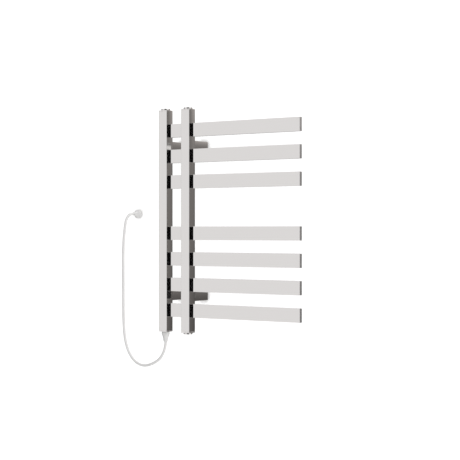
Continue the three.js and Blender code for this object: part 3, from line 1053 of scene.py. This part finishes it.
def card_ring(recipe, heading, cards):
    """Brightness by heading, which is 0 and 1 straight behind and 0.5 square on."""
    stops = [((degrees + 180) / 360, level) for degrees, level in cards]
    return recipe.node("ShaderNodeValToRGB", {"stops": stops}, {"Fac": heading})


def make_world(studio):
    """Soft white light all round, with cards that only reflections show."""
    world = bpy.data.worlds.new("studio")
    bpy.context.scene.world = world
    world.cycles.sampling_method = "NONE"
    recipe = Recipe(world)
    towards = recipe.node("ShaderNodeTexCoord", output="Generated")
    x = recipe.node("ShaderNodeSeparateXYZ", None, {0: towards})
    y, z = x.output("Y"), x.output("Z")
    heading = recipe.math("ARCTAN2", x, 0 - y) / (2 * math.pi) + 0.5
    low = card_ring(recipe, heading, CARDS_LOW)
    level = card_ring(recipe, heading, CARDS_LEVEL)
    high = card_ring(recipe, heading, CARDS_HIGH)
    rings = low + (level - low) * recipe.smooth_step(z, *LOW_TO_LEVEL)
    rings = rings + (high - level) * recipe.smooth_step(z, *LEVEL_TO_HIGH)
    behind = card_ring(recipe, heading, CARD_BEHIND)
    rows = recipe.smooth_step(z, *CARD_BEHIND_FOOT) - recipe.smooth_step(z, *CARD_BEHIND_TOP)
    rings = rings + behind * rows
    # Straight up and straight down are both a little dimmer than the slopes between
    slope = recipe.math("ABSOLUTE", z)
    overhead = 0.95 - 0.4 * recipe.smooth_step(slope, *OVERHEAD_DIMS)
    cards = rings + (overhead - rings) * recipe.smooth_step(slope, *RINGS_TO_OVERHEAD)
    soft = studio.fill + 0.7 * x + 0.2 * z

    def background(strength, tint=(1, 1, 1, 1)):
        return recipe.node("ShaderNodeBackground", None, {"Color": tint, "Strength": strength})

    def choose(ray, otherwise, shader):
        return recipe.node("ShaderNodeMixShader", None, {0: rays.output(ray), 1: otherwise, 2: shader})

    # The side behind the rack on the right is a warmer white than the rest
    warmth = recipe.blend(recipe.smooth_step(heading, *TURNS_WARM), CARD_WHITE, WARM_WHITE)
    rays = recipe.node("ShaderNodeLightPath")
    seen = choose("Is Glossy Ray", background(soft), background(cards, warmth))
    recipe.finish(choose("Is Camera Ray", seen, background(1.0)), "ShaderNodeOutputWorld")


def plane(name, corners):
    """A flat part of the stage, which reflections leave out."""
    mesh = bmesh.new()
    mesh.faces.new([mesh.verts.new(corner) for corner in corners])
    piece = to_object(mesh, name)
    piece.visible_glossy = False
    return piece


def make_wall():
    """A plain white wall that is only there from the front, so that the back can be seen."""
    left, right, low, high = -3.2, 4.6, -0.9, 2.6
    y = 0.2 * MM
    wall = plane("wall", ((left, y, low), (right, y, low), (right, y, high), (left, y, high)))
    material, recipe = started("wall_paint")
    mottle = recipe.noise(40, 2)
    # The wall glows to keep it evenly white, and the glow is dimmed where the rack touches it: a
    # painted contact shadow
    inputs = {"Distance": 16 * MM}
    openness = recipe.node("ShaderNodeAmbientOcclusion", {"samples": 8}, inputs, output="AO")
    outside_painted_shadow = recipe.smooth_step(openness, 0.5, 0.98)
    lit = recipe.node("ShaderNodeBsdfPrincipled", None, {
        "Base Color": recipe.blend(mottle, (0.50, 0.50, 0.50), (0.52, 0.52, 0.52)),
        "Roughness": 1.0,
        "Specular IOR Level": 0.0,
        # Emission colour darker close to the rack: painted contact shadow on the wall
        "Emission Color": recipe.blend(outside_painted_shadow, (0.33, 0.33, 0.33), (0.80, 0.80, 0.80)),
        "Emission Strength": 1.0,
    })
    clear = recipe.node("ShaderNodeBsdfTransparent")
    facing = recipe.node("ShaderNodeNewGeometry", output="Backfacing")
    recipe.finish(recipe.node("ShaderNodeMixShader", None, {0: facing, 1: lit, 2: clear}))
    wall.data.materials.append(material)


def make_floor(studio):
    """A plain pale floor below the rack."""
    reach, z = 6.0, -studio.floor_drop
    corners = ((-reach, -reach, z), (reach, -reach, z), (reach, reach, z), (-reach, reach, z))
    floor = plane("floor", corners)
    material, recipe = started("floor_paint")
    mottle = recipe.noise(3, 3)
    recipe.surface(
        Base_Color=recipe.blend(mottle, (0.80, 0.80, 0.79), (0.83, 0.83, 0.82)),
        Roughness=0.8,
    )
    floor.data.materials.append(material)


def make_key_lamp(studio):
    """One large soft lamp, high on the right in front of the rack."""
    data = bpy.data.lights.new("key", "AREA")
    data.shape = "RECTANGLE"
    data.size, data.size_y = KEY_SIZE
    data.energy = studio.key_power
    lamp = bpy.data.objects.new("key", data)
    lamp.location = KEY_PLACE
    aim = Vector(KEY_AIM) - lamp.location
    lamp.rotation_euler = aim.to_track_quat("-Z", "Y").to_euler()
    lamp.visible_glossy = False
    lamp.visible_camera = False
    bpy.context.scene.collection.objects.link(lamp)


def make_camera(studio):
    """The camera stands level, to the right of the rack, and looks at it along its heading."""
    data = bpy.data.cameras.new("camera")
    data.lens = studio.focal_length
    data.sensor_width = 36
    data.clip_end = 50
    camera = bpy.data.objects.new("camera", data)
    camera.location = CAMERA_PLACE
    camera.rotation_euler = (math.pi / 2, 0, studio.heading)
    bpy.context.scene.collection.objects.link(camera)
    bpy.context.scene.camera = camera


class RACK_OT_stage(bpy.types.Operator):
    """Set up the camera, the wall, the floor and the light"""
    bl_idname = "rack.stage"
    bl_label = "Stage"

    def execute(self, context):
        studio = context.scene.rack_studio
        context.scene.view_settings.view_transform = "Standard"
        make_camera(studio)
        make_world(studio)
        make_wall()
        make_floor(studio)
        make_key_lamp(studio)
        return {"FINISHED"}


OPERATORS = (
    RACK_OT_stage,
    RACK_OT_finishes,
    RACK_OT_supply,
    RACK_OT_posts,
    RACK_OT_end_plates,
    RACK_OT_post_caps,
    RACK_OT_bars,
    RACK_OT_standoffs,
    RACK_OT_wall_fixings,
    RACK_OT_inner_works,
)
GROUPS = {"rack_sizes": RackSizes, "rack_finishes": RackFinishes, "rack_studio": RackStudio}


class RACK_PT_panel(bpy.types.Panel):
    """Lists the rack's sizes, finishes and steps"""
    bl_idname = "RACK_PT_panel"
    bl_label = "Towel Rack"
    bl_space_type = "VIEW_3D"
    bl_region_type = "UI"
    bl_category = "Towel Rack"

    def draw(self, context):
        for group, kind in GROUPS.items():
            box = self.layout.box()
            values = getattr(context.scene, group)
            for name in kind.__annotations__:
                box.prop(values, name)
        for operator in OPERATORS:
            self.layout.operator(operator.bl_idname)


CLASSES = (*GROUPS.values(), *OPERATORS, RACK_PT_panel)


def register():
    for item in CLASSES:
        bpy.utils.register_class(item)
    for name, group in GROUPS.items():
        setattr(bpy.types.Scene, name, bpy.props.PointerProperty(type=group))


def unregister():
    for name in GROUPS:
        delattr(bpy.types.Scene, name)
    for item in reversed(CLASSES):
        bpy.utils.unregister_class(item)


def main():
    register()
    bpy.ops.rack.stage()
    bpy.ops.rack.finishes()
    bpy.ops.rack.supply()
    bpy.ops.rack.posts()
    bpy.ops.rack.end_plates()
    bpy.ops.rack.post_caps()
    bpy.ops.rack.bars()
    bpy.ops.rack.standoffs()
    bpy.ops.rack.wall_fixings()
    bpy.ops.rack.inner_works()


if __name__ == "__main__":
    main()
